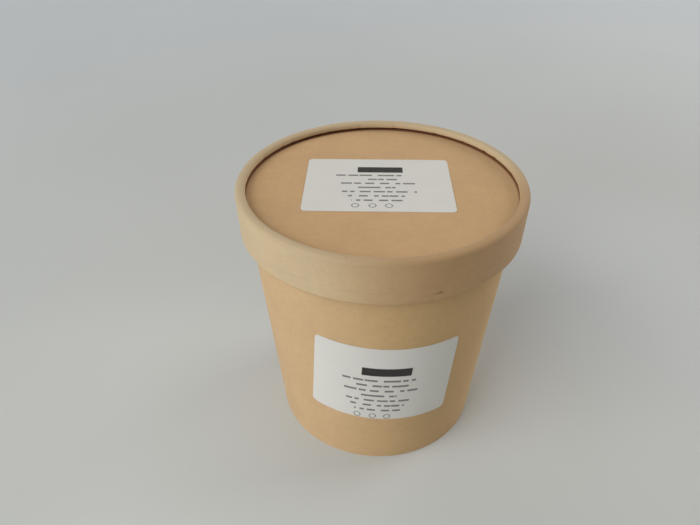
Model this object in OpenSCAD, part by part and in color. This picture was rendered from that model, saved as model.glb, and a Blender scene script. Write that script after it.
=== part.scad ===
// Round kraft paper soup bowl with its paper lid on.
// The bowl is a cone of board with a rolled rim and a base disc held in its folded foot.
// The lid is a shallow band of board, curled over at the top and hemmed at its foot, round a recessed disc.
// Millimetres. The origin is the centre of the foot, on the table, with +Z up and the labels facing -Y.

/* [Bowl] */
// Height of the bowl, from the table to the top of its rolled rim
bowl_h = 112.9; // [90:0.1:150]
// Outer diameter of the wall where it stands on the table
foot_d = 91.8; // [80:0.1:104]
// Outer diameter of the wall's face, carried up to the height of the rim
mouth_d = 110.7; // [106:0.1:130]
// Thickness of the bowl's board
board_t = 0.4; // [0.3:0.05:0.6]
// Diameter of the rolled rim
roll_d = 2.1; // [2:0.1:3.4]
// Gap between the end of the roll and the wall
roll_open = 0.2; // [0.1:0.05:0.4]
// Width of the lap where the wall's two edges are glued
lap_w = 14; // [8:0.5:24]
// Direction of the wall's lap, in degrees from +X
wall_lap_at = 78; // [40:1:140]

/* [Base] */
// Thickness of the base disc's board
base_t = 0.4; // [0.3:0.05:0.6]
// Height of the base disc's underside above the table
base_recess = 7; // [4:0.5:12]
// Inside radius of the folds at the foot and round the base disc
fold_r = 0.1; // [0.05:0.05:0.4]
// How far the foot's hem stops short of the base disc
hem_short = 1; // [0.6:0.1:2]

/* [Lid] */
// Thickness of the lid's board
lid_t = 0.38; // [0.3:0.02:0.5]
// Height of the lid's skirt, from its hemmed foot to the crown of its rim
skirt_h = 18.3; // [14:0.1:26]
// How much further out the skirt's face stands at the crown than at its foot
skirt_flare = 0.63; // [0:0.01:1.5]
// Depth of the recess, from the crown to the top of the disc
recess = 3.9; // [3.5:0.1:7]
// Radius of the curl's outer shoulder, between the skirt's face and the crown
shoulder_r = 2.1; // [1.6:0.05:2.8]
// How far the curl turns inwards past the crown, in degrees
curl_turn = 120; // [100:5:150]
// Gap between the disc and the end of the curl above it
curl_gap = 0.9; // [0.4:0.05:1.4]
// Height of the hem folded up inside the skirt's foot
hem_h = 5.5; // [3:0.5:8]
// Gap between the two layers of the skirt's hem
hem_gap = 0.1; // [0.06:0.02:0.3]
// Direction of the skirt's lap, in degrees from +X
skirt_lap_at = 118; // [40:1:140]

/* [Fit] */
// Gap between the rolled rim and the lid's disc above it
seat_gap = 0.3; // [0.2:0.05:0.6]
// Gap all round between the rolled rim and the hem that passes over it
slip_gap = 0.3; // [0.25:0.01:0.8]
// Thickness of a glue line between two layers of board
glue_t = 0.05; // [0.02:0.01:0.1]

/* [Labels] */
// Width of each label
label_w = 59.8; // [30:0.2:64]
// Height of each label
label_h = 43.6; // [20:0.2:60]
// Corner radius of each label
label_r = 2; // [0.5:0.25:4]
// Thickness of the label paper
label_t = 0.12; // [0.08:0.02:0.25]
// Height of the middle of the bowl's label above the table
wall_label_z = 50.5; // [36:0.5:60]
// Direction that the bowl's label faces, in degrees from +X
wall_label_at = -86.4; // [-100:0.1:-80]
// Turn of the bowl's label on the wall, in degrees anticlockwise
wall_label_turn = -3.5; // [-8:0.5:8]
// Place of the lid label's middle on the disc, to the right of the centre
lid_label_x = -1.3; // [-8:0.1:8]
// Place of the lid label's middle on the disc, behind the centre
lid_label_y = 1.6; // [-8:0.1:8]
// Turn of the lid's label on the disc, in degrees anticlockwise
lid_label_turn = 1.4; // [-8:0.1:8]

/* [Hidden] */
$fn = 128;
// Degrees between the points of a small bend in the board
bend_step = 12;
// Share of a lap's width over which it is drawn, the rest being too thin to show
lap_share = 0.85;

KRAFT = [0.74, 0.61, 0.43];
LID_KRAFT = [0.72, 0.60, 0.45];
LABEL_WHITE = [0.88, 0.88, 0.86];

// Wall of the bowl: the lean of its face, and its radius at a height
wall_slope = (mouth_d - foot_d) / 2 / bowl_h;
wall_lean = atan(wall_slope);
function wall_r(z) = foot_d / 2 + wall_slope * z;

// Rolled rim: a circle tangent to the wall's inner face, with its top at the bowl's height
roll_r = roll_d / 2;
roll_z = bowl_h - roll_r;
roll_tangent_z = roll_z + (roll_r - board_t) * sin(wall_lean);
roll_c = [wall_r(roll_tangent_z), roll_tangent_z] + (roll_r - board_t) * outward(wall_lean);
roll_end = acos((roll_r - board_t - roll_open) / roll_r) - 180 - wall_lean;
rim_out_r = roll_c[0] + roll_r;

// Foot: wall, glue, base flange, glue and hem lie side by side in the fold
foot_bend_r = fold_r + board_t;
foot_stack = 2 * board_t + 2 * glue_t + base_t;
foot_bend_c = beside_wall(foot_bend_r, foot_bend_r);
hem_bend_c = beside_wall(foot_stack - foot_bend_r, foot_bend_r);
foot_hem_top = base_recess - hem_short;

// Base: the disc's edge turns down into the fold
base_bend_r = fold_r + base_t;
base_bend_c = beside_wall(board_t + glue_t + base_bend_r, base_recess - fold_r);
base_flange_end = board_t + fold_r + glue_t;

// Lid: heights from the rim below it, then the skirt's face
disc_z = bowl_h + seat_gap;
disc_top = disc_z + lid_t;
lid_top = disc_top + recess;
skirt_foot = lid_top - skirt_h;
hem_bend_r = lid_t + hem_gap / 2;
skirt_foot_r = rim_out_r + slip_gap + 2 * hem_bend_r;
skirt_slope = skirt_flare / skirt_h;
skirt_lean = atan(skirt_slope);
function skirt_r(z) = skirt_foot_r + skirt_slope * (z - skirt_foot);

// Lid's rim: the outer shoulder, then the curl from the crown down to just above the disc
curl_r = (recess - curl_gap) / (1 - cos(curl_turn));
shoulder_c = beside_skirt(shoulder_r, lid_top - shoulder_r);
curl_c = [shoulder_c[0], lid_top - curl_r];
skirt_bend_c = beside_skirt(hem_bend_r, skirt_foot + hem_bend_r);

// Disc's edge turns up inside the skirt
disc_bend_r = fold_r + lid_t;
disc_bend_c = beside_skirt(lid_t + glue_t + disc_bend_r, disc_z + disc_bend_r);

// Labels
label_cover = wall_r(wall_label_z);
label_chord = 2 * label_cover * sin(label_w / 2 / label_cover * 180 / PI);
label_depth = label_cover / 2;

// Unit vectors up along a face that leans outwards by a degrees, and square out from it
function upward(a) = [sin(a), cos(a)];
function outward(a) = [cos(a), -sin(a)];
// Point a distance d inside the wall's outer face, and inside the skirt's, at height z
function beside_wall(d, z) = [wall_r(z) - d / cos(wall_lean), z];
function beside_skirt(d, z) = [skirt_r(z) - d / cos(skirt_lean), z];

// A board's section is drawn from a path along one of its faces. Each place on the path holds a point
// and the unit vector square out of that face, and the other face lies one thickness behind it.
function turned(a) = [cos(a), sin(a)];
function place(point, way) = [[point, way]];
// Bend about c: side is 1 where the face is on the outside of the bend and -1 where it is on the inside
function bend(c, r, a0, a1, side = 1) =
    let (steps = max(2, ceil(abs(a1 - a0) / bend_step)))
    [for (i = [0 : steps]) let (a = a0 + (a1 - a0) * i / steps) [c + r * turned(a), side * turned(a)]];

module board(path, t) {
    last = len(path) - 1;
    polygon(concat([for (p = path) p[0]], [for (i = [last : -1 : 0]) path[i][0] - t * path[i][1]]));
}

// Inner face of the bowl's board: over the roll, down the wall, round the foot fold and up the hem
module wall_section() {
    hem_from = hem_bend_c - fold_r * outward(wall_lean);
    hem_to = hem_from + upward(wall_lean) * (foot_hem_top - hem_from[1]) / cos(wall_lean);
    board(concat(
        bend(roll_c, roll_r, roll_end, 180 - wall_lean),
        bend(foot_bend_c, fold_r, -wall_lean, -90, -1),
        bend(hem_bend_c, fold_r, 270, 180 - wall_lean, -1),
        place(hem_to, outward(wall_lean))), board_t);
}

// Upper face of the base: across the disc, over its edge and down the flange
module base_section() {
    flange_from = base_bend_c + base_bend_r * outward(wall_lean);
    flange_to = flange_from - upward(wall_lean) * (flange_from[1] - base_flange_end) / cos(wall_lean);
    board(concat(
        place([0, base_recess + base_t], [0, 1]),
        bend(base_bend_c, base_bend_r, 90, -wall_lean),
        place(flange_to, outward(wall_lean))), base_t);
}

// Outer face of the lid's band: down the hem, round its fold, up the skirt and round the curl
module skirt_section() {
    hem_to = skirt_bend_c - hem_bend_r * outward(skirt_lean);
    board(concat(
        place(hem_to + upward(skirt_lean) * hem_h, -outward(skirt_lean)),
        bend(skirt_bend_c, hem_bend_r, 180 - skirt_lean, 360 - skirt_lean),
        bend(shoulder_c, shoulder_r, -skirt_lean, 90),
        bend(curl_c, curl_r, 90, 90 + curl_turn)), lid_t);
}

// Under face of the lid's disc: across to its edge, round the bend and up the flange inside the skirt
module disc_section() {
    flange_from = disc_bend_c + disc_bend_r * outward(skirt_lean);
    flange_to = flange_from + upward(skirt_lean) * (shoulder_c[1] - flange_from[1]);
    board(concat(
        place([0, disc_z], [0, -1]),
        bend(disc_bend_c, disc_bend_r, 270, 360 - skirt_lean),
        place(flange_to, outward(skirt_lean))), lid_t);
}

// Glued lap on a round wall, from z0 to z1, where the board climbs over its own edge. The wall's face
// has radius face_r at height z_ref and widens by slope, and the raw edge faces the direction at.
// The climb is a cone whose axis is shifted: it leaves the wall's face and stands t proud at the edge.
// Above z1 the lap tapers inwards over the height fade.
module lap(face_r, slope, z_ref, z0, z1, t, at, fade = 0) {
    angle = lap_w / face_r * 180 / PI;
    shift = t / sin(angle);
    start = at - lap_share * angle;
    reach = 2 * face_r;
    r0 = face_r + slope * (z0 - z_ref);
    r1 = face_r + slope * (z1 - z_ref);
    sunk = t / 2;
    below = z0 - t;
    above = z1 + fade + t;
    inner = [[0, below], [r0 - sunk - slope * t, below], [r1 - sunk, z1]];
    intersection() {
        translate(shift * turned(at - angle + 90))
            rotate_extrude()
                polygon([[0, z0], [r0, z0], [r1, z1], if (fade > 0) [r1 - fade, z1 + fade], [0, z1 + fade]]);
        difference() {
            translate([0, 0, z0])
                linear_extrude(z1 + fade - z0)
                    polygon([[0, 0], reach * turned(start), reach * turned(at)]);
            rotate_extrude()
                polygon(concat(inner, [[r1 - sunk - fade - t, above], [0, above]]));
        }
    }
}

module bowl_wall() {
    color(KRAFT) {
        rotate_extrude() wall_section();
        lap(foot_d / 2, wall_slope, 0, foot_bend_r, bowl_h - roll_d - roll_open, board_t, wall_lap_at);
    }
}

module bowl_base() {
    color(KRAFT) rotate_extrude() base_section();
}

module lid_skirt() {
    color(LID_KRAFT) {
        rotate_extrude() skirt_section();
        lap(skirt_foot_r, skirt_slope, skirt_foot, skirt_foot + hem_bend_r, shoulder_c[1],
            lid_t, skirt_lap_at, shoulder_r / 2);
    }
}

module lid_disc() {
    color(LID_KRAFT) rotate_extrude() disc_section();
}

// Label outline, centred, with round corners
module label_outline(w, h) {
    corner = [w / 2 - label_r, h / 2 - label_r];
    polygon([for (q = [0 : 3]) let (side = [cos(q * 90 + 45), sin(q * 90 + 45)] * sqrt(2))
             for (p = bend([side[0] * corner[0], side[1] * corner[1]], label_r, q * 90, q * 90 + 90)) p[0]]);
}

// The bowl's label follows the cone: a thin shell of it, cut to the outline along the wall's normal
module bowl_label() {
    out = outward(wall_lean);
    proud = glue_t + label_t;
    color(LABEL_WHITE)
        intersection() {
            rotate_extrude()
                board(concat(place([wall_r(0), 0] + proud * out, out),
                             place([wall_r(bowl_h), bowl_h] + proud * out, out)), label_t);
            rotate([0, 0, wall_label_at])
                translate([wall_r(wall_label_z), 0, wall_label_z])
                    rotate([0, wall_lean, 0])
                        rotate([90, 0, 90])
                            translate([0, 0, -label_depth])
                                rotate(wall_label_turn)
                                    linear_extrude(label_depth + 2 * proud)
                                        label_outline(label_chord, label_h);
        }
}

module lid_label() {
    color(LABEL_WHITE)
        translate([lid_label_x, lid_label_y, disc_top + glue_t])
            rotate([0, 0, lid_label_turn])
                linear_extrude(label_t) label_outline(label_w, label_h);
}

bowl_wall();
bowl_base();
lid_skirt();
lid_disc();
bowl_label();
lid_label();
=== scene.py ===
"""Kraft paper soup bowl with its paper lid: finishes, lid band, room, lamps and camera round the frame.

Lengths in the dataclasses are millimetres, and angles are degrees. Blender's own data is in metres.
"""

from __future__ import annotations

import logging
import math
from collections.abc import Mapping, Sequence
from dataclasses import dataclass, field
from enum import Enum

import bpy
import numpy as np
from mathutils import Matrix, Vector

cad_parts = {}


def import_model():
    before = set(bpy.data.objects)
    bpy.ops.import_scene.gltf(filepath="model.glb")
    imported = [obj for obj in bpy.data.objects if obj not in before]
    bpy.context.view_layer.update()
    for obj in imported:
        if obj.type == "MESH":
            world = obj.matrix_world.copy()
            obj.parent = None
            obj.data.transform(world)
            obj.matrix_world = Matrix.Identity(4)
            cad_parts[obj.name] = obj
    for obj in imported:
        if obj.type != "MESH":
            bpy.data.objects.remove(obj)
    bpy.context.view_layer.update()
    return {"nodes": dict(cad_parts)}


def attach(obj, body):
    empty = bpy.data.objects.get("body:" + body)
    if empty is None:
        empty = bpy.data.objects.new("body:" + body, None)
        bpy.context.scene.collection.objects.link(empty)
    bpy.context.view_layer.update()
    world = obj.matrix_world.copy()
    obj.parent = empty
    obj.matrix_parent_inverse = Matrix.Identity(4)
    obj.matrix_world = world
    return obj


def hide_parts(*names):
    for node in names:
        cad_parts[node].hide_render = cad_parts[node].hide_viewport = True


MM = 0.001
LOG = logging.getLogger("soup_bowl")

Tone = tuple[float, float, float]


def tone(red: int, green: int, blue: int) -> Tone:
    """Turns screen levels from 0 to 255 into the linear tone that Blender's sockets hold."""
    levels = (red / 255, green / 255, blue / 255)
    return tuple(c / 12.92 if c <= 0.04045 else ((c + 0.055) / 1.055) ** 2.4 for c in levels)


def shaded(base: Tone, share: float) -> Tone:
    """Gives a tone's share, below 1 for darker and above 1 for lighter."""
    return tuple(min(1.0, c * share) for c in base)


# Node trees


class Value:
    """An output of a node tree. Python's operators on it add Math nodes."""

    def __init__(self, pen: Pen, socket: bpy.types.NodeSocket) -> None:
        """Keeps the socket and the pen that draws in its tree."""
        self.pen = pen
        self.socket = socket

    def __add__(self, other: Feed) -> Value:
        """Adds other."""
        return self.pen.maths("ADD", self, other)

    def __radd__(self, other: Feed) -> Value:
        """Adds this to other."""
        return self.pen.maths("ADD", other, self)

    def __sub__(self, other: Feed) -> Value:
        """Subtracts other."""
        return self.pen.maths("SUBTRACT", self, other)

    def __rsub__(self, other: Feed) -> Value:
        """Subtracts this from other."""
        return self.pen.maths("SUBTRACT", other, self)

    def __mul__(self, other: Feed) -> Value:
        """Multiplies by other."""
        return self.pen.maths("MULTIPLY", self, other)

    def __truediv__(self, other: Feed) -> Value:
        """Divides by other."""
        return self.pen.maths("DIVIDE", self, other)

    def __abs__(self) -> Value:
        """Drops the sign."""
        return self.pen.maths("ABSOLUTE", self)

    def __lt__(self, other: Feed) -> Value:
        """Is 1 where this is below other, and 0 elsewhere."""
        return self.pen.maths("LESS_THAN", self, other)

    def __gt__(self, other: Feed) -> Value:
        """Is 1 where this is above other, and 0 elsewhere."""
        return self.pen.maths("GREATER_THAN", self, other)

    def ramp(self, start: float, end: float, low: Feed = 0.0, high: Feed = 1.0) -> Value:
        """Goes smoothly from low to high as this goes from start to end, which may lie below start.

        Args:
            start: Where the climb begins.
            end: Where it ends.
            low: The result at start and before it.
            high: The result at end and past it.

        Returns:
            The result, held between low and high.
        """
        return self.pen.value(
            "ShaderNodeMapRange",
            {"interpolation_type": "SMOOTHSTEP"},
            {"Value": self, "From Min": start, "From Max": end, "To Min": low, "To Max": high},
        )


Feed = Value | float | Sequence[float]


class Pen:
    """Adds nodes to one tree, of a material or of Geometry Nodes."""

    def __init__(self, tree: bpy.types.NodeTree) -> None:
        """Keeps the tree."""
        self.tree = tree

    def node(self, kind: str, settings: Mapping[str, object] | None = None,
             inputs: Mapping[str, object] | None = None) -> bpy.types.Node:
        """Adds one node, with its settings made before its sockets are filled.

        Args:
            kind: Blender's name for the type of node.
            settings: The node's own properties, such as a Math node's operation.
            inputs: What each socket gets, by its identifier or its name: a Value to link, or a constant.

        Returns:
            The new node.
        """
        made = self.tree.nodes.new(kind)
        for name, choice in (settings or {}).items():
            setattr(made, name, choice)
        for name, feed in (inputs or {}).items():
            self.fill(self.socket(made.inputs, name), feed)
        return made

    def fill(self, socket: bpy.types.NodeSocket, feed: object) -> None:
        """Links a Value to a socket, or sets a constant on it."""
        if isinstance(feed, Value):
            self.tree.links.new(feed.socket, socket)
        else:
            socket.default_value = feed

    def value(self, kind: str, settings: Mapping[str, object] | None = None,
              inputs: Mapping[str, object] | None = None, output: str = "") -> Value:
        """Adds one node and gives one of its outputs.

        Args:
            kind: Blender's name for the type of node.
            settings: The node's own properties.
            inputs: What each socket gets.
            output: The output's identifier or name. Where it is empty, the first output is meant.

        Returns:
            The output.
        """
        made = self.node(kind, settings, inputs)
        return Value(self, self.socket(made.outputs, output) if output else made.outputs[0])

    @staticmethod
    def socket(sockets: bpy.types.bpy_prop_collection, name: str) -> bpy.types.NodeSocket:
        """Finds a socket by its identifier, or else by its name."""
        return next((s for s in sockets if s.identifier == name), None) or sockets[name]

    def maths(self, operation: str, *feeds: Feed) -> Value:
        """Adds a Math node on up to three feeds."""
        made = self.node("ShaderNodeMath", {"operation": operation})
        for socket, feed in zip(made.inputs, feeds):
            self.fill(socket, feed)
        return Value(self, made.outputs[0])

    def split(self, vector: Value) -> tuple[Value, Value, Value]:
        """Gives a vector's x, y and z."""
        made = self.node("ShaderNodeSeparateXYZ", inputs={"Vector": vector})
        return tuple(Value(self, made.outputs[i]) for i in range(3))

    def mix(self, share: Feed, first: Feed, second: Feed) -> Value:
        """Blends two colours: the first where share is 0, the second where it is 1."""
        colours = [feed if isinstance(feed, Value) else (*feed, 1.0) for feed in (first, second)]
        return self.value(
            "ShaderNodeMix",
            {"data_type": "RGBA"},
            {"Factor_Float": share, "A_Color": colours[0], "B_Color": colours[1]},
            "Result_Color",
        )

    def noise(self, place: Value, scale: float, detail: float = 2.0, distortion: float = 0.0) -> Value:
        """Adds a noise of about 0 to 1, with scale cells to a metre."""
        return self.value(
            "ShaderNodeTexNoise",
            inputs={"Vector": place, "Scale": scale, "Detail": detail, "Distortion": distortion},
            output="Fac",
        )

    def stretched(self, place: Value, scale: Sequence[float]) -> Value:
        """Scales a place along each axis, so that a pattern on it is drawn out along the smallest."""
        return self.value("ShaderNodeMapping", inputs={"Vector": place, "Scale": scale})

    def distance(self, place: Value, spot: Sequence[float]) -> Value:
        """Gives the distance from a spot, in metres."""
        ends = {"Vector": place, "Vector_001": spot}
        return self.value("ShaderNodeVectorMath", {"operation": "DISTANCE"}, ends, "Value")

    def bump(self, height: Value, reach: float) -> Value:
        """Gives a normal for a height of 0 to 1, which stands reach metres high at 1."""
        feeds = {"Strength": 1.0, "Distance": reach, "Height": height}
        return self.value("ShaderNodeBump", inputs=feeds, output="Normal")

    def radius(self, place: Value) -> Value:
        """Gives the distance from the object's upright axis, in metres."""
        x, y, _ = self.split(place)
        return self.maths("SQRT", x * x + y * y)


# Finishes


@dataclass(frozen=True)
class Pattern:
    """A pattern in paper: its cells to a metre, and its shares in the tone, the roughness and the height."""

    scale: float
    in_tone: float
    in_roughness: float = 0.0
    in_height: float = 0.0


@dataclass(frozen=True)
class Fleck:
    """A small spot in the paper, at a place on the object. Past the core's share of its radius it fades."""

    place: tuple[float, float, float]
    radius: float
    share: float
    lighter: bool = False
    core: float = 0.35

    def mask(self, pen: Pen, place: Value) -> Value:
        """Is share on the spot and 0 beside it."""
        away = pen.distance(place, [c * MM for c in self.place])
        return away.ramp(self.radius * MM, self.radius * MM * self.core) * self.share


@dataclass(frozen=True)
class KraftBoard:
    """Unbleached board: a clouded brown face with long fibres, and a food film on the inside.

    Where it has a shade-side tone, the face goes from the base tone to it across the object, as painted
    shade.
    """

    name: str
    base: Tone
    # painted shade: the face turns to this tone towards the angle below, on the side away from the light
    shade_side_tone: Tone | None = None
    shade_side_at: float = -45.0
    shade_side_from: float = 18.0
    shade_side_to: float = 56.0
    spread: float = 0.16
    roughness: float = 0.84
    refraction: float = 1.4
    sheen: float = 0.05
    cloud: Pattern = Pattern(62.0, 0.75)
    formation: Pattern = Pattern(340.0, 0.7, 0.16, 0.5)
    grain: Pattern = Pattern(1500.0, 0.35, 0.1, 0.35)
    grain_drawn: float = 0.35
    pale_fibre: Pattern = Pattern(300.0, 0.34, in_height=0.3)
    dark_fibre: Pattern = Pattern(393.0, 0.3, in_height=0.15)
    fibre_width: float = 0.03
    fibre_breaks: float = 1.7
    speck_cells: float = 190.0
    speck_chance: float = 0.11
    speck_size: float = 0.07
    speck_share: float = 0.45
    speck_shade: float = 0.35
    pale_mark_shade: float = 1.35
    patch_scale: float = 240.0
    patch_low: float = 0.15
    patch_high: float = 0.5
    film_shade: float = 0.82
    film_roughness: float = 0.34
    film_flatness: float = 0.7
    # painted shade for narrow gaps that little light reaches, such as under the lid's curl
    crevice_shade_tone: Tone = tone(134, 76, 24)
    mark_tone: Tone = tone(92, 56, 28)
    relief: float = 0.03
    flecks: tuple[Fleck, ...] = ()

    def material(self) -> bpy.types.Material:
        """Builds the board's material.

        Returns:
            The material, with its patterns on Object coordinates.
        """
        made = bpy.data.materials.new(self.name)
        made.use_nodes = True
        made.node_tree.nodes.clear()
        pen = Pen(made.node_tree)
        coordinates = pen.node("ShaderNodeTexCoord")
        place = Value(pen, coordinates.outputs["Object"])
        inside = self.inside(pen, place, Value(pen, coordinates.outputs["Normal"]))

        cloud = pen.noise(place, self.cloud.scale, 3.0)
        formation = pen.noise(place, self.formation.scale, 3.0)
        grain = pen.noise(pen.stretched(place, (1.0, 1.0, self.grain_drawn)), self.grain.scale)
        pale = self.fibres(pen, place, self.pale_fibre.scale)
        dark = self.fibres(pen, place, self.dark_fibre.scale)

        level = 0.5 + (cloud - 0.5) * self.cloud.in_tone + (formation - 0.5) * self.formation.in_tone
        level = level + (grain - 0.5) * self.grain.in_tone
        level = level + pale * self.pale_fibre.in_tone - dark * self.dark_fibre.in_tone
        # worn places lighter; the band's crown darker by painted shade
        level = level + self.wear_and_shade(pen, place)
        colour = self.face(pen, place, level.ramp(0.0, 1.0))
        specks = self.specks(pen, place) * self.speck_share
        colour = pen.mix(specks, colour, shaded(self.base, self.speck_shade))
        for fleck in self.flecks:
            mark_tone = shaded(self.base, self.pale_mark_shade) if fleck.lighter else self.mark_tone
            colour = pen.mix(fleck.mask(pen, place), colour, mark_tone)
        colour = pen.mix(inside, colour, shaded(self.base, self.film_shade))
        # painted shade in narrow gaps
        colour = pen.mix(self.crevice_shade(pen, place), colour, self.crevice_shade_tone)

        roughness = self.roughness + (formation - 0.5) * self.formation.in_roughness
        roughness = roughness + (grain - 0.5) * self.grain.in_roughness
        roughness = roughness - inside * (self.roughness - self.film_roughness)
        height = formation * self.formation.in_height + grain * self.grain.in_height
        height = height + pale * self.pale_fibre.in_height - dark * self.dark_fibre.in_height
        height = height * (1 - inside * self.film_flatness) + self.folds(pen, place)
        shader = pen.value(
            "ShaderNodeBsdfPrincipled",
            inputs={"Base Color": colour, "Roughness": roughness,
                    "Normal": pen.bump(height, self.relief * MM), "IOR": self.refraction,
                    "Specular IOR Level": 1.0, "Sheen Weight": self.sheen, "Sheen Roughness": 0.5},
            output="BSDF",
        )
        pen.node("ShaderNodeOutputMaterial", inputs={"Surface": shader})
        return made

    def face(self, pen: Pen, place: Value, level: Value) -> Feed:
        """Colours the face from dark at level 0 to light at level 1.

        Args:
            pen: The material's pen.
            place: Object coordinates.
            level: The paper's own light and dark, from 0 to 1.

        Returns:
            The colour, in the painted shade tone on the side that the shade angle gives.
        """
        if self.shade_side_tone is None:
            return self.clouded(pen, level, self.base)
        x, y, _ = pen.split(place)
        turn = math.radians(self.shade_side_at)
        # painted shade: 1 on the side away from the light
        side = (x * math.cos(turn) + y * math.sin(turn)).ramp(self.shade_side_from * MM, self.shade_side_to * MM)
        return pen.mix(side, self.clouded(pen, level, self.base), self.clouded(pen, level, self.shade_side_tone))

    def clouded(self, pen: Pen, level: Value, board_tone: Tone) -> Feed:
        """Spreads a tone from a little darker at level 0 to a little lighter at level 1."""
        half = self.spread / 2
        return pen.mix(level, shaded(board_tone, 1 - half), shaded(board_tone, 1 + half))

    def fibres(self, pen: Pen, place: Value, scale: float) -> Value:
        """Draws short curled fibres: thin bands of a noise, broken up by another.

        Args:
            pen: The material's pen.
            place: Object coordinates.
            scale: The noise's cells to a metre. Two sets of fibres differ by it.

        Returns:
            1 on a fibre and 0 beside it.
        """
        bands = pen.noise(place, scale, 1.5, 0.7)
        breaks = pen.noise(place, scale * self.fibre_breaks, 1.0).ramp(0.5, 0.62)
        return abs(bands - 0.5).ramp(self.fibre_width, 0.0) * breaks

    def specks(self, pen: Pen, place: Value) -> Value:
        """Scatters tiny specks of bark over some cells of a Voronoi pattern."""
        feeds = {"Vector": place, "Scale": self.speck_cells, "Randomness": 1.0}
        cells = pen.node("ShaderNodeTexVoronoi", inputs=feeds)
        distance = Value(pen, cells.outputs["Distance"])
        chosen = pen.split(Value(pen, cells.outputs["Color"]))[0] > 1 - self.speck_chance
        return distance.ramp(self.speck_size, self.speck_size * 0.4) * chosen

    def inside(self, pen: Pen, place: Value, normal: Value) -> Value:
        """Is 1 on the filmed side, which faces the axis."""
        x, y, _ = pen.split(place)
        nx, ny, _ = pen.split(normal)
        return (x * nx + y * ny).ramp(0.0, -0.01)

    def crevice_shade(self, pen: Pen, place: Value) -> Feed:
        """Is 1 where shade is painted into a narrow gap that no light reaches. Plain board has none."""
        return 0.0

    def wear_and_shade(self, pen: Pen, place: Value) -> Feed:
        """Gives how much lighter the board is worn at a place, less any painted shade. Plain board has
        neither.
        """
        return 0.0

    def patches(self, pen: Pen, place: Value) -> Value:
        """Gives how strongly worn places show, in patches."""
        return pen.noise(place, self.patch_scale).ramp(0.3, 0.7, self.patch_low, self.patch_high)

    def folds(self, pen: Pen, place: Value) -> Feed:
        """Gives the height of what shows through the board from behind, as a share of the relief."""
        return 0.0


@dataclass(frozen=True)
class WallBoard(KraftBoard):
    """Board of the bowl's wall, rubbed a little at its foot and its roll."""

    foot_worn_to: float = 1.6
    rim_worn_from: float = 110.9
    rim_worn_to: float = 112.1
    hem_top_z: float = 6.5
    roll_z: float = 110.7

    def inside(self, pen: Pen, place: Value, normal: Value) -> Value:
        """Is 1 inside above the hem, and all round the roll, which turns the filmed side out."""
        height = pen.split(place)[2]
        above_hem = super().inside(pen, place, normal) * (height > self.hem_top_z * MM)
        return pen.maths("MAXIMUM", above_hem, height > self.roll_z * MM)

    def wear_and_shade(self, pen: Pen, place: Value) -> Value:
        """Lightens the foot's fold and the rolled rim, in patches."""
        height = pen.split(place)[2]
        foot = height.ramp(self.foot_worn_to * MM, 0.0)
        rim = height.ramp(self.rim_worn_from * MM, self.rim_worn_to * MM)
        return (foot + rim) * self.patches(pen, place)


@dataclass(frozen=True)
class DiscBoard(KraftBoard):
    """Board of a flat disc, with its filmed side up or down, and painted shade past a radius."""

    film_up: bool = False
    # painted shade past this radius, under the lid's curl
    crevice_shade_r: float = 1000.0
    crevice_shade_soft: float = 0.5

    def crevice_shade(self, pen: Pen, place: Value) -> Value:
        """Is 1 past a radius, under the lid's curl, where shade is painted."""
        soft = self.crevice_shade_soft
        return pen.radius(place).ramp((self.crevice_shade_r - soft) * MM, (self.crevice_shade_r + soft) * MM)

    def inside(self, pen: Pen, place: Value, normal: Value) -> Value:
        """Is 1 on the filmed side, which faces up or down."""
        up = pen.split(normal)[2]
        return up.ramp(0.4, 0.5) if self.film_up else up.ramp(-0.4, -0.5)


@dataclass(frozen=True)
class BandBoard(KraftBoard):
    """Board of the lid's band: darker by painted shade at its crown and under its curl, worn at its foot,
    with the hem showing through.
    """

    patch_scale: float = 210.0
    patch_low: float = 0.2
    patch_high: float = 0.4
    foot_z: float = 99.18
    foot_worn_to: float = 100.28
    hem_top_z: float = 104.7
    hem_ring: float = 2.2
    hem_soft: float = 0.5
    disc_z: float = 113.2
    crown_from: float = 114.8
    crown_to: float = 116.8
    # painted shade on the crown
    crown_shade: float = 0.6
    # painted shade on the curl's underside: its reach and heights
    crevice_shade_r: float = 57.2
    crevice_shade_top: float = 115.4
    crevice_shade_full: float = 114.5
    crevice_shade_foot: float = 110.9

    def inside(self, pen: Pen, place: Value, normal: Value) -> Value:
        """Is 1 on the inner face between the hem and the disc. The hem and the curl show the outer one."""
        height = pen.split(place)[2]
        between = (height > self.hem_top_z * MM) * (height < self.disc_z * MM)
        return super().inside(pen, place, normal) * between

    def crevice_shade(self, pen: Pen, place: Value) -> Value:
        """Is 1 on the curl's underside, towards its raw edge, where shade is painted."""
        height = pen.split(place)[2]
        under = height.ramp(self.crevice_shade_top * MM, self.crevice_shade_full * MM)
        above_foot = height > self.crevice_shade_foot * MM
        return under * (pen.radius(place) < self.crevice_shade_r * MM) * above_foot

    def wear_and_shade(self, pen: Pen, place: Value) -> Value:
        """Lightens the hemmed foot in patches, and darkens the crown a little with painted shade."""
        height = pen.split(place)[2]
        foot = height.ramp(self.foot_worn_to * MM, self.foot_z * MM)
        crown = height.ramp(self.crown_from * MM, self.crown_to * MM)
        return foot * self.patches(pen, place) - crown * self.crown_shade

    def folds(self, pen: Pen, place: Value) -> Value:
        """Raises a soft ring where the hem's upper edge lies behind the face."""
        height = pen.split(place)[2]
        return abs(height - self.hem_top_z * MM).ramp(self.hem_soft * MM, 0.0) * self.hem_ring


class Seat(Enum):
    """What a label is stuck on."""

    DISC = "disc"
    WALL = "wall"


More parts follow.
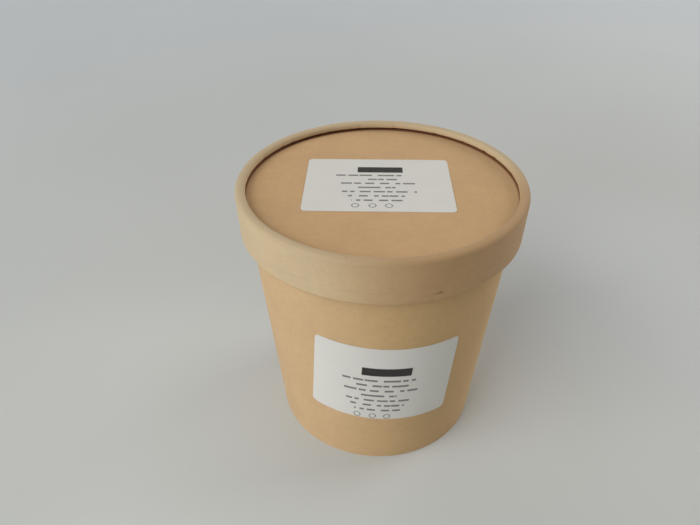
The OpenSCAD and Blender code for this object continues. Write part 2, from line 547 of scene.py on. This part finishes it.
@dataclass(frozen=True)
class LabelPrint:
    """Plain printed shapes in place of wording: one bar, seven broken rules and three small rings.

    Places are millimetres right and up from the label's middle. A row is where its rule starts and ends.
    """

    bar: tuple[float, float, float, float]
    first_row: float
    pitch: float
    rows: tuple[tuple[float, float], ...]
    ring_places: tuple[float, ...]
    ring_height: float
    row_height: float = 1.15
    word: float = 0.33
    word_gap: float = 0.44
    row_shift: float = 7.3
    ring_radius: float = 1.35
    ring_line: float = 0.42

    def ink(self, pen: Pen, across: Value, up: Value) -> tuple[Value, Value]:
        """Draws the print.

        Args:
            pen: The material's pen.
            across: Millimetres right of the label's middle.
            up: Millimetres above it.

        Returns:
            Where the bar is, and where the rules and rings are, each 1 on the print and 0 beside it.
        """
        left, right, low, high = self.bar
        bar = self.patch(across, up, (left + right) / 2, (low + high) / 2, right - left, high - low)
        rules = None
        for index, (start, end) in enumerate(self.rows):
            middle = self.first_row - index * self.pitch
            rule = self.patch(across, up, (start + end) / 2, middle, end - start, self.row_height)
            rules = rule if rules is None else rules + rule
        row = pen.maths("ROUND", (self.first_row - up) / self.pitch)
        words = pen.value(
            "ShaderNodeTexNoise", {"noise_dimensions": "1D"},
            {"W": across * self.word + row * self.row_shift, "Scale": 1.0, "Detail": 1.0}, "Fac",
        )
        rules = rules * (words > self.word_gap)
        for place in self.ring_places:
            aside, above = across - place, up - self.ring_height
            reach = pen.maths("SQRT", aside * aside + above * above)
            rules = rules + (abs(reach - self.ring_radius) < self.ring_line / 2)
        return bar, rules

    @staticmethod
    def patch(across: Value, up: Value, x: float, y: float, width: float, height: float) -> Value:
        """Is 1 inside a rectangle about x, y."""
        return (abs(across - x) < width / 2) * (abs(up - y) < height / 2)


@dataclass(frozen=True)
class LabelPaper:
    """Matt white label paper with its print, on the disc or round the wall."""

    name: str
    seat: Seat
    middle: tuple[float, float, float]
    turn: float
    print_on: LabelPrint
    facing: float = -90.0
    radius: float = 50.0
    lean: float = 0.0
    base: Tone = tone(214, 211, 203)
    bar_ink: Tone = tone(38, 35, 34)
    rule_ink: Tone = tone(118, 116, 114)
    cloud: Pattern = Pattern(90.0, 0.8)
    tooth: Pattern = Pattern(1900.0, 0.5, in_roughness=0.12)
    dark_shade: float = 0.965
    light_shade: float = 1.03
    dry_scale: float = 1300.0
    dry_cover: float = 0.8
    bar_cover: float = 0.8
    roughness: float = 0.52
    gloss: float = 0.45
    relief: float = 0.006

    def material(self) -> bpy.types.Material:
        """Builds the label's material.

        Returns:
            The material, with its print on Object coordinates.
        """
        made = bpy.data.materials.new(self.name)
        made.use_nodes = True
        made.node_tree.nodes.clear()
        pen = Pen(made.node_tree)
        place = Value(pen, pen.node("ShaderNodeTexCoord").outputs["Object"])
        across, up = self.flat(pen, place)
        bar, rules = self.print_on.ink(pen, across, up)

        cloud = pen.noise(place, self.cloud.scale, 3.0)
        tooth = pen.noise(place, self.tooth.scale)
        level = 0.5 + (cloud - 0.5) * self.cloud.in_tone + (tooth - 0.5) * self.tooth.in_tone
        dark, light = shaded(self.base, self.dark_shade), shaded(self.base, self.light_shade)
        colour = pen.mix(level.ramp(0.0, 1.0), dark, light)
        dry = pen.noise(place, self.dry_scale).ramp(0.25, 0.5, self.dry_cover, 1.0)
        colour = pen.mix(pen.maths("MINIMUM", rules, 1.0) * dry, colour, self.rule_ink)
        colour = pen.mix(bar * (dry * (1 - self.bar_cover) + self.bar_cover), colour, self.bar_ink)
        shader = pen.value(
            "ShaderNodeBsdfPrincipled",
            inputs={"Base Color": colour,
                    "Roughness": self.roughness + (tooth - 0.5) * self.tooth.in_roughness,
                    "Normal": pen.bump(tooth, self.relief * MM), "Specular IOR Level": self.gloss},
            output="BSDF",
        )
        pen.node("ShaderNodeOutputMaterial", inputs={"Surface": shader})
        return made

    def flat(self, pen: Pen, place: Value) -> tuple[Value, Value]:
        """Lays the label out flat.

        Args:
            pen: The material's pen.
            place: Object coordinates.

        Returns:
            Millimetres right of the label's middle and above it, along its own sides.
        """
        x, y, z = pen.split(place)
        if self.seat is Seat.DISC:
            right, rise = x / MM - self.middle[0], y / MM - self.middle[1]
        else:
            angle = pen.maths("ARCTAN2", y, x) - math.radians(self.facing)
            right = angle * self.radius
            rise = (z / MM - self.middle[2]) / math.cos(math.radians(self.lean))
        cos, sin = math.cos(math.radians(self.turn)), math.sin(math.radians(self.turn))
        return right * cos + rise * sin, rise * cos - right * sin


# Lid band


@dataclass(frozen=True)
class Wave:
    """A slow or a quick unevenness round the band, and its shares in the curl's rise and in the sway."""

    scale: float
    upwards: float
    outwards: float


@dataclass
class LidBand:
    """The lid's band: one strip of board, hemmed at its foot and curled over at the crown."""

    board: KraftBoard
    board_t: float = 0.38
    foot_r: float = 58.124
    foot_z: float = 99.18
    height: float = 18.3
    flare: float = 0.63
    hem_h: float = 5.5
    hem_bend: float = 0.43
    shoulder_r: float = 2.1
    curl_from: float = 97.0
    curl_turn: float = 120.0
    curl_gap: float = 0.9
    recess: float = 3.9
    lap_at: float = 118.0
    lap_w: float = 14.0
    lap_edge: float = 0.03
    columns: int = 540
    hem_steps: int = 5
    fold_steps: int = 10
    skirt_steps: int = 14
    shoulder_steps: int = 12
    curl_steps: int = 18
    sharp_from: float = 38.0
    pleats: int = 29
    pleat_depth: float = 0.24
    pleat_width: float = 0.07
    pleat_nudge: float = 0.5
    pleat_rise: float = 0.9
    sway: float = 0.14
    slow: Wave = Wave(1.4, 1.6, 0.25)
    quick: Wave = Wave(9.0, 0.6, 0.12)
    lift: float = 0.4
    lift_at: float = 165.0
    lift_swing: float = 0.25
    seed: int = 7
    creases: tuple[tuple[float, float], ...] = (
        (-176.5, 0.3), (144.8, 0.55), (116.6, 0.5), (97.4, 0.35), (81.6, 0.3),
    )
    crease_width: float = 1.1
    lean: float = field(init=False)

    def __post_init__(self) -> None:
        """Works out how far the skirt leans outwards."""
        self.lean = math.atan(self.flare / self.height)

    @property
    def top_z(self) -> float:
        """The height of the crown."""
        return self.foot_z + self.height

    @property
    def curl_r(self) -> float:
        """The curl's radius, with which its raw edge ends the gap's width above the disc."""
        return (self.recess - self.curl_gap) / (1 - math.cos(math.radians(self.curl_turn)))

    def beside(self, inside: float, height: float) -> np.ndarray:
        """Gives the point a distance inside the skirt's face at a height, as radius and height."""
        radius = self.foot_r + self.flare * (height - self.foot_z) / self.height
        return np.array((radius - inside / math.cos(self.lean), height))

    def face(self) -> list[tuple[float, float, float, float, float]]:
        """Draws the section's outer face, from the hem's top round the foot and over the crown.

        Returns:
            For each point up to the raw edge its radius and height, the direction square out of the board,
            and the lap's share.
        """
        lean = math.degrees(self.lean)
        out = np.array((math.cos(self.lean), -math.sin(self.lean)))
        along = np.array((math.sin(self.lean), math.cos(self.lean)))
        path: list[tuple[float, float, float, float, float]] = []

        def add(point: np.ndarray, way: np.ndarray, lap: float = 0.0) -> None:
            """Adds one point to the path."""
            path.append((*point, *way, lap))

        def bend(centre: np.ndarray, radius: float, start: float, end: float, steps: int,
                 laps: tuple[float, float]) -> None:
            """Adds a bend's points, with the lap's share going from the first of laps to the second."""
            for i in range(steps + 1):
                angle = math.radians(start + (end - start) * i / steps)
                way = np.array((math.cos(angle), math.sin(angle)))
                add(centre + radius * way, way, laps[0] + (laps[1] - laps[0]) * i / steps)

        fold = self.beside(self.hem_bend, self.foot_z + self.hem_bend)
        hem = fold - self.hem_bend * out
        for i in range(self.hem_steps, 0, -1):
            add(hem + along * self.hem_h * i / self.hem_steps, -out)
        bend(fold, self.hem_bend, 180 - lean, 360 - lean, self.fold_steps, (0.0, 1.0))
        start, end = fold + self.hem_bend * out, self.beside(0, self.top_z - self.shoulder_r)
        for i in range(1, self.skirt_steps):
            add(start + (end - start) * i / self.skirt_steps, out, 1.0)
        shoulder = self.beside(self.shoulder_r, self.top_z - self.shoulder_r)
        bend(shoulder, self.shoulder_r, -lean, 90, self.shoulder_steps, (1.0, 0.0))
        curl = np.array((shoulder[0], self.top_z - self.curl_r))
        bend(curl, self.curl_r, self.curl_from, 90 + self.curl_turn, self.curl_steps, (0.0, 0.0))
        return path

    def swept(self) -> bpy.types.Mesh:
        """Sweeps the section round the axis. The lap's raw edge has two columns at almost the same angle.

        Returns:
            The closed mesh, in metres, before its pleats.
        """
        path = np.array(self.face())
        lap_turn = math.degrees(self.lap_w / self.foot_r)
        angles = self.lap_at - np.arange(self.columns) * 360.0 / self.columns
        share = np.clip((angles - (self.lap_at - lap_turn)) / lap_turn, 0.0, 1.0)
        angles = np.append(angles, self.lap_at - (360.0 - self.lap_edge))
        share = np.append(share, 0.0)
        outer, back = path[:, :2], path[::-1, :2] - self.board_t * path[::-1, 2:4]
        section = np.concatenate((outer, back))
        proud = np.concatenate((path[:, 4], np.zeros(len(path))))
        cos, sin = np.cos(np.radians(angles)), np.sin(np.radians(angles))
        radius = section[None, :, 0] + share[:, None] * proud[None, :] * self.board_t
        height = np.broadcast_to(section[None, :, 1], radius.shape)
        points = np.stack((radius * cos[:, None], radius * sin[:, None], height), axis=2).reshape(-1, 3) * MM
        rows, count = len(section), len(angles)
        faces = []
        for i in range(count):
            here, there = i * rows, (i + 1) % count * rows
            for j in range(rows):
                k = (j + 1) % rows
                faces.append((here + j, here + k, there + k, there + j))
        mesh = bpy.data.meshes.new("lid_band")
        mesh.from_pydata(points.tolist(), [], faces)
        return mesh

    def pleat_tree(self, material: bpy.types.Material) -> bpy.types.NodeTree:
        """Builds the tree that dents the curl and lets the strip sway a little.

        Args:
            material: The board's material.

        Returns:
            The tree, whose sizes are named inputs in metres.
        """
        tree = bpy.data.node_groups.new("band_pleats", "GeometryNodeTree")
        inputs = {
            "Pleats": float(self.pleats),
            "Pleat depth": self.pleat_depth * MM,
            "Pleat width": self.pleat_width,
            "Crown radius": self.beside(self.shoulder_r, self.top_z)[0] * MM,
            "Curl reach": self.curl_r * MM,
            "Sway": self.sway * MM,
            "Lift": self.lift * MM,
            "Seed": float(self.seed),
        }
        tree.interface.new_socket("Geometry", in_out="INPUT", socket_type="NodeSocketGeometry")
        for name, amount in inputs.items():
            socket = tree.interface.new_socket(name, in_out="INPUT", socket_type="NodeSocketFloat")
            socket.default_value = amount
        tree.interface.new_socket("Geometry", in_out="OUTPUT", socket_type="NodeSocketGeometry")
        pen = Pen(tree)
        entry = pen.node("NodeGroupInput")
        size = {name: Value(pen, entry.outputs[name]) for name in inputs}

        place = pen.value("GeometryNodeInputPosition")
        x, y, _ = pen.split(place)
        radius = pen.radius(place)
        turn = pen.maths("ARCTAN2", y, x) / math.tau + 0.5
        inwards = (size["Crown radius"] - radius) / size["Curl reach"]
        inwards = pen.maths("MAXIMUM", 0.0, pen.maths("MINIMUM", 1.0, inwards))

        cell = turn * size["Pleats"]
        index = pen.maths("FLOOR", cell)
        chance = self.chance(pen, index, size["Seed"])
        nudge = self.chance(pen, index, size["Seed"] + 31.7) - 0.5
        off = (cell - index - 0.5 - nudge * self.pleat_nudge) / size["Pleat width"]
        crimp = pen.maths("EXPONENT", off * off * -1.0) * chance * chance
        for angle, share in self.creases:
            aside = abs(turn - self.turn_at(angle)) * (math.tau * self.foot_r / self.crease_width)
            crimp = crimp + pen.maths("EXPONENT", aside * aside * -1.0) * share
        depth = crimp * size["Pleat depth"] * inwards

        out_x, out_y = x / radius, y / radius
        circle = pen.value("ShaderNodeCombineXYZ", inputs={"X": out_x, "Y": out_y, "Z": size["Seed"]})
        slow = pen.noise(circle, self.slow.scale, 2.0) - 0.5
        quick = pen.noise(circle, self.quick.scale, 2.0) - 0.5
        side = pen.maths("COSINE", (turn - self.turn_at(self.lift_at)) * math.tau)
        side = side * self.lift_swing + (1 - self.lift_swing)
        uneven = slow * self.slow.upwards + quick * self.quick.upwards
        lifted = uneven * size["Sway"] + side * size["Lift"]
        rise = depth * self.pleat_rise + inwards * inwards * lifted
        swayed = slow * self.slow.outwards + quick * self.quick.outwards
        outwards = depth + swayed * size["Sway"]
        shifts = {"X": out_x * outwards, "Y": out_y * outwards, "Z": rise}
        shift = pen.value("ShaderNodeCombineXYZ", inputs=shifts)
        moved = pen.value("GeometryNodeSetPosition",
                          inputs={"Geometry": Value(pen, entry.outputs["Geometry"]), "Offset": shift})
        plain = pen.value("GeometryNodeRealizeInstances", inputs={"Geometry": moved})
        dressed = pen.value("GeometryNodeSetMaterial", inputs={"Geometry": plain, "Material": material})
        pen.node("NodeGroupOutput", inputs={"Geometry": dressed})
        return tree

    @staticmethod
    def turn_at(angle: float) -> float:
        """Gives where an angle lies round the axis, from 0 at -180 degrees to 1 at 180."""
        return angle / 360.0 + 0.5

    @staticmethod
    def chance(pen: Pen, index: Value, seed: Feed) -> Value:
        """Gives each pleat its own fixed number from 0 to 1."""
        spot = pen.value("ShaderNodeCombineXYZ", inputs={"X": index, "Y": seed})
        return pen.value("ShaderNodeTexWhiteNoise", {"noise_dimensions": "2D"}, {"Vector": spot}, "Value")

    def build(self) -> bpy.types.Object:
        """Makes the band and puts it in place of its CAD node.

        Returns:
            The band, riding on the lid.
        """
        material = self.board.material()
        band = bpy.data.objects.new("lid_band", self.swept())
        bpy.context.scene.collection.objects.link(band)
        modifier = band.modifiers.new("pleats", "NODES")
        modifier.node_group = self.pleat_tree(material)
        finished = bpy.data.meshes.new_from_object(
            band.evaluated_get(bpy.context.evaluated_depsgraph_get()))
        band.modifiers.clear()
        band.data = finished
        finished.shade_smooth()
        finished.set_sharp_from_angle(angle=math.radians(self.sharp_from))
        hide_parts("lid_skirt")
        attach(band, "lid")
        return band


# Room


@dataclass(frozen=True)
class PhotoCamera:
    """The photograph's camera, as fitted to the edges of the bowl: where it stands and how it is turned."""

    focal_px: float = 623.78
    width_px: float = 700.0
    distance: float = 288.251
    elevation: float = 39.124
    yaw: float = 2.678
    pitch: float = 3.19
    roll: float = 1.766
    aim: tuple[float, float, float] = (0.0, 0.0, 55.0)

    def build(self) -> bpy.types.Object:
        """Sets the camera up and makes it the scene's.

        Returns:
            The camera.
        """
        lens = bpy.data.cameras.new("camera")
        lens.sensor_width = 36.0
        lens.lens = self.focal_px / self.width_px * lens.sensor_width
        lens.clip_start, lens.clip_end = 0.01, 20.0
        raised = math.radians(self.elevation)
        back = Vector((0.0, -math.cos(raised), math.sin(raised)))
        upright = Matrix.Rotation(math.pi / 2 - raised, 3, "X")
        turns = ((self.yaw, "Y"), (self.pitch, "X"), (self.roll, "Z"))
        yawed, pitched, rolled = (Matrix.Rotation(math.radians(angle), 3, axis) for angle, axis in turns)
        own = yawed @ pitched @ rolled
        camera = bpy.data.objects.new("camera", lens)
        spot = (Vector(self.aim) + back * self.distance) * MM
        camera.matrix_world = Matrix.Translation(spot) @ (upright @ own).to_4x4()
        bpy.context.scene.collection.objects.link(camera)
        bpy.context.scene.camera = camera
        return camera


@dataclass(frozen=True)
class SoftLamp:
    """A large square lamp, aimed at the middle of the bowl."""

    name: str
    place: tuple[float, float, float]
    side: float
    power: float
    colour: Tone = (1.0, 1.0, 1.0)

    def build(self, aim: Vector) -> bpy.types.Object:
        """Hangs the lamp.

        Args:
            aim: The point it shines at, in metres.

        Returns:
            The lamp.
        """
        light = bpy.data.lights.new(self.name, "AREA")
        light.size = self.side * MM
        light.energy = self.power
        light.color = self.colour
        lamp = bpy.data.objects.new(self.name, light)
        lamp.location = Vector(self.place) * MM
        lamp.visible_camera = False
        lamp.rotation_euler = (aim - lamp.location).to_track_quat("-Z", "Y").to_euler()
        bpy.context.scene.collection.objects.link(lamp)
        return lamp


@dataclass
class Room:
    """The plain pale table top, the soft lamps and the even light round them."""

    floor_side: float = 8000.0
    floor_tone: Tone = tone(190, 191, 187)
    floor_spread: float = 0.04
    floor_cloud_scale: float = 5.0
    floor_roughness: float = 0.8
    glow_tone: Tone = (0.04, 0.055, 0.08)
    glow_from: float = 120.0
    glow_to: float = 900.0
    # painted pools of light on the floor, for the camera alone
    painted_light_pools: tuple[tuple[tuple[float, float, float], float, Tone], ...] = (
        ((-120.0, -80.0, 0.0), 180.0, (0.12, 0.12, 0.11)),
        ((150.0, 90.0, 0.0), 160.0, (0.06, 0.068, 0.08)),
    )
    aim: tuple[float, float, float] = (0.0, 0.0, 60.0)
    haze_from: float = 450.0
    haze_to: float = 1500.0
    air_tone: Tone = (0.151, 0.149, 0.147)
    backdrop_tone: Tone = tone(186, 190, 192)
    lamps: tuple[SoftLamp, ...] = (
        SoftLamp("window", (-1425.0, -1197.0, 1135.0), 2000.0, 50.0, (0.97, 1.0, 1.03)),
        SoftLamp("near_wall", (1734.0, 922.0, 934.0), 1250.0, 24.0, (1.03, 1.0, 0.95)),
        SoftLamp("ceiling", (-125.0, 1432.0, 1658.0), 2000.0, 7.5),
    )

    def build(self) -> bpy.types.Object:
        """Lays the floor, hangs the lamps and sets the air's light.

        Returns:
            The floor.
        """
        half = self.floor_side / 2 * MM
        mesh = bpy.data.meshes.new("floor")
        square = [(-half, -half, 0), (half, -half, 0), (half, half, 0), (-half, half, 0)]
        mesh.from_pydata(square, [], [(0, 1, 2, 3)])
        mesh.materials.append(self.floor_material())
        floor = bpy.data.objects.new("floor", mesh)
        bpy.context.scene.collection.objects.link(floor)
        for lamp in self.lamps:
            lamp.build(Vector(self.aim) * MM)
        self.air()
        return floor

    def floor_material(self) -> bpy.types.Material:
        """Makes the table top's matt finish.

        Returns:
            The material. For the camera alone it glows faintly further out, with painted pools of light near
            the bowl, and runs into the backdrop far out.
        """
        made = bpy.data.materials.new("floor")
        made.use_nodes = True
        made.node_tree.nodes.clear()
        pen = Pen(made.node_tree)
        place = Value(pen, pen.node("ShaderNodeTexCoord").outputs["Object"])
        cloud = pen.noise(place, self.floor_cloud_scale).ramp(0.2, 0.8)
        half = self.floor_spread / 2
        colour = pen.mix(cloud, shaded(self.floor_tone, 1 - half), shaded(self.floor_tone, 1 + half))
        away = pen.distance(place, (0.0, 0.0, 0.0))
        glow = pen.mix(away.ramp(self.glow_from * MM, self.glow_to * MM), (0.0, 0.0, 0.0), self.glow_tone)
        # painted pools of light
        for middle, reach, painted_pool_tone in self.painted_light_pools:
            painted_pool = pen.distance(place, [c * MM for c in middle]).ramp(reach * MM, 0.0)
            glow = pen.mix(painted_pool, glow, painted_pool_tone)
        seen = pen.value("ShaderNodeLightPath", output="Is Camera Ray")
        glow = pen.mix(seen, (0.0, 0.0, 0.0), glow)
        matt = pen.value(
            "ShaderNodeBsdfPrincipled",
            inputs={"Base Color": colour, "Roughness": self.floor_roughness, "Emission Color": glow,
                    "Emission Strength": 1.0},
            output="BSDF",
        )
        haze = pen.value("ShaderNodeEmission", inputs={"Color": (*self.backdrop_tone, 1.0)})
        far = away.ramp(self.haze_from * MM, self.haze_to * MM) * seen
        shader = pen.value("ShaderNodeMixShader", inputs={"Fac": far, "Shader": matt, "Shader_001": haze})
        pen.node("ShaderNodeOutputMaterial", inputs={"Surface": shader})
        return made

    def air(self) -> None:
        """Sets the light that comes from all round, with a pale backdrop for the camera alone."""
        world = bpy.data.worlds.new("air")
        world.use_nodes = True
        world.node_tree.nodes.clear()
        pen = Pen(world.node_tree)
        seen = pen.value("ShaderNodeLightPath", output="Is Camera Ray")
        colour = pen.mix(seen, self.air_tone, self.backdrop_tone)
        glow = pen.value("ShaderNodeBackground", inputs={"Color": colour, "Strength": 1.0})
        pen.node("ShaderNodeOutputWorld", inputs={"Surface": glow})
        bpy.context.scene.world = world


# Bowl and lid


@dataclass
class SoupBowl:
    """The bowl and its lid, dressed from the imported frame."""

    # the wall's second tone is painted shade on the side away from the light
    wall: KraftBoard = WallBoard("bowl_wall_kraft", tone(197, 163, 119), tone(195, 159, 106))
    base: KraftBoard = DiscBoard("bowl_base_kraft", tone(194, 159, 109), film_up=True)
    # painted shade on the disc under the lid's curl, past the given radius
    disc: KraftBoard = DiscBoard("lid_disc_kraft", tone(194, 156, 109), crevice_shade_r=54.55)
    band: LidBand = field(default_factory=lambda: LidBand(BandBoard(
        "lid_band_kraft",
        tone(194, 170, 132),
        # the band's second tone is painted shade on the side away from the light
        tone(180, 143, 97),
        refraction=1.4,
        sheen=0.1,
        flecks=(
            Fleck((21.9, -54.3, 102.4), 0.8, 0.6),
            Fleck((21.2, -54.5, 102.3), 0.8, 0.5),
            Fleck((20.4, -54.8, 102.2), 0.75, 0.35),
            Fleck((19.6, -55.1, 102.1), 0.7, 0.25),
            Fleck((21.0, -54.6, 100.6), 1.8, 0.1, lighter=True),
            Fleck((18.7, -55.0, 99.3), 0.5, 0.6),
            Fleck((25.15, -52.3, 113.3), 0.4, 0.35),
            Fleck((19.2, -54.8, 114.9), 0.4, 0.35),
        ),
    )))
    labels: tuple[tuple[str, LabelPaper], ...] = (
        ("lid_label", LabelPaper(
            "lid_label_paper", Seat.DISC, (-1.3, 1.6, 113.7), 1.4,
            LabelPrint(
                bar=(-8.6, 10.4, 9.7, 14.5), first_row=7.1, pitch=3.42,
                rows=((-17.5, 11.2), (-4.2, 7.8), (-15.2, 15.0), (-8.2, 7.0), (-14.5, 15.4), (-12.0, 10.5),
                      (-10.7, 9.4)),
                ring_places=(-9.0, -2.3, 4.05), ring_height=-17.4,
            ),
        )),
        ("bowl_label", LabelPaper(
            "bowl_label_paper", Seat.WALL, (0.0, 0.0, 50.5), -3.5,
            LabelPrint(
                bar=(-9.2, 10.6, 6.0, 10.6), first_row=3.0, pitch=3.15,
                rows=((-16.9, 12.9), (-11.8, 10.3), (-15.9, 14.5), (-8.7, 6.1), (-14.9, 14.5), (-13.0, 9.9),
                      (-11.2, 8.6)),
                ring_places=(-9.75, -3.0, 3.2), ring_height=-19.9,
            ),
            facing=-86.4, radius=50.127, lean=4.785,
        )),
    )

    def build(self, nodes: Mapping[str, bpy.types.Object]) -> None:
        """Dresses the CAD nodes and puts the band on.

        Args:
            nodes: The frame's CAD nodes by name.
        """
        for name, board in (("bowl_wall", self.wall), ("bowl_base", self.base), ("lid_disc", self.disc)):
            self.dress(nodes[name], board.material())
        for name, paper in self.labels:
            self.dress(nodes[name], paper.material())
        self.report(self.band.build())

    def dress(self, node: bpy.types.Object, material: bpy.types.Material) -> None:
        """Gives a CAD node its material."""
        for material_slot in node.material_slots:
            material_slot.material = material
        self.report(node)

    @staticmethod
    def report(piece: bpy.types.Object) -> None:
        """Logs a finished piece."""
        LOG.info("%s: %d faces, %s", piece.name, len(piece.data.polygons), piece.data.materials[0].name)


def main() -> None:
    """Loads the frame, dresses it, sets the room up, places the camera and sets the view transform."""
    logging.basicConfig(level=logging.INFO, format="%(name)s: %(message)s")
    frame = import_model()
    SoupBowl().build(frame["nodes"])
    Room().build()
    PhotoCamera().build()
    bpy.context.scene.view_settings.view_transform = "Standard"


if __name__ == "__main__":
    main()
